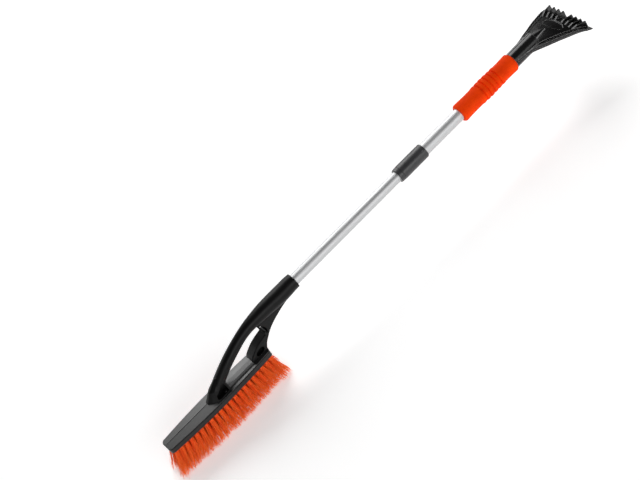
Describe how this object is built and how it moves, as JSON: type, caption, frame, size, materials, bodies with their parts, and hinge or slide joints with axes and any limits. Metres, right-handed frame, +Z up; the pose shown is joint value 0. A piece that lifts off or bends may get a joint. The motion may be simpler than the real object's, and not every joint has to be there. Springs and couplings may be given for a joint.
{
  "type": "snow broom",
  "caption": "Car snow broom: tufted brush head on a bowed arm, twist-lock telescopic pole, foam grip and a toothed ice scraper at the far end.",
  "frame": {"origin": "under the middle of the whole length, on the plane that the bristle tips stand on, in the middle plane of the width", "axes": "+X runs along the pole from the brush nose to the scraper, +Z is up from the bristle tips to the pole, +Y is to the left seen from the nose"},
  "size_m": [0.967, 0.1056, 0.1388],
  "materials": {
    "brush_block_black": "satin",
    "cover_black": "satin",
    "arm_black": "satin",
    "scraper_black": "satin",
    "bristles_orange": "satin",
    "foam_orange": "matte",
    "tube_silver_inner": "satin",
    "tube_silver_outer": "satin",
    "collar_grey": "satin",
    "bush_white": "satin",
    "lock_nylon": "satin",
    "core_black": "matte",
    "screw_black": "satin",
    "screw_steel": "satin",
    "staple_steel": "satin",
    "pin_steel": "satin"
  },
  "bodies": {
    "head": {"brush_block": "brush_block_black", "block_cover": "cover_black", "cover_screws": "screw_steel", "tuft_staples": "staple_steel", "bristle_field": "bristles_orange", "handle_arm": "arm_black", "foot_screws": "screw_black", "socket_screw": "screw_black", "inner_tube": "tube_silver_inner", "plug_pins": "pin_steel", "lock_plug": "lock_nylon", "keeper_washer": "pin_steel", "keeper_screw": "screw_steel"},
    "lock": {"expander_ring": "lock_nylon"},
    "pole": {"guide_bush": "bush_white", "collar": "collar_grey", "collar_pin": "pin_steel", "outer_tube": "tube_silver_outer", "foam_grip": "foam_orange", "scraper_head": "scraper_black", "neck_screw": "screw_black", "neck_core": "core_black"}
  },
  "joints": [
    {"name": "twist", "type": "hinge", "parent": "head", "child": "lock", "pos_m": [0.137, 0, 0.122], "axis": [1, 0, 0], "continuous": true},
    {"name": "extension", "type": "slide", "parent": "lock", "child": "pole", "axis": [1, 0, 0], "range_m": [-0.173, 0]}
  ]
}
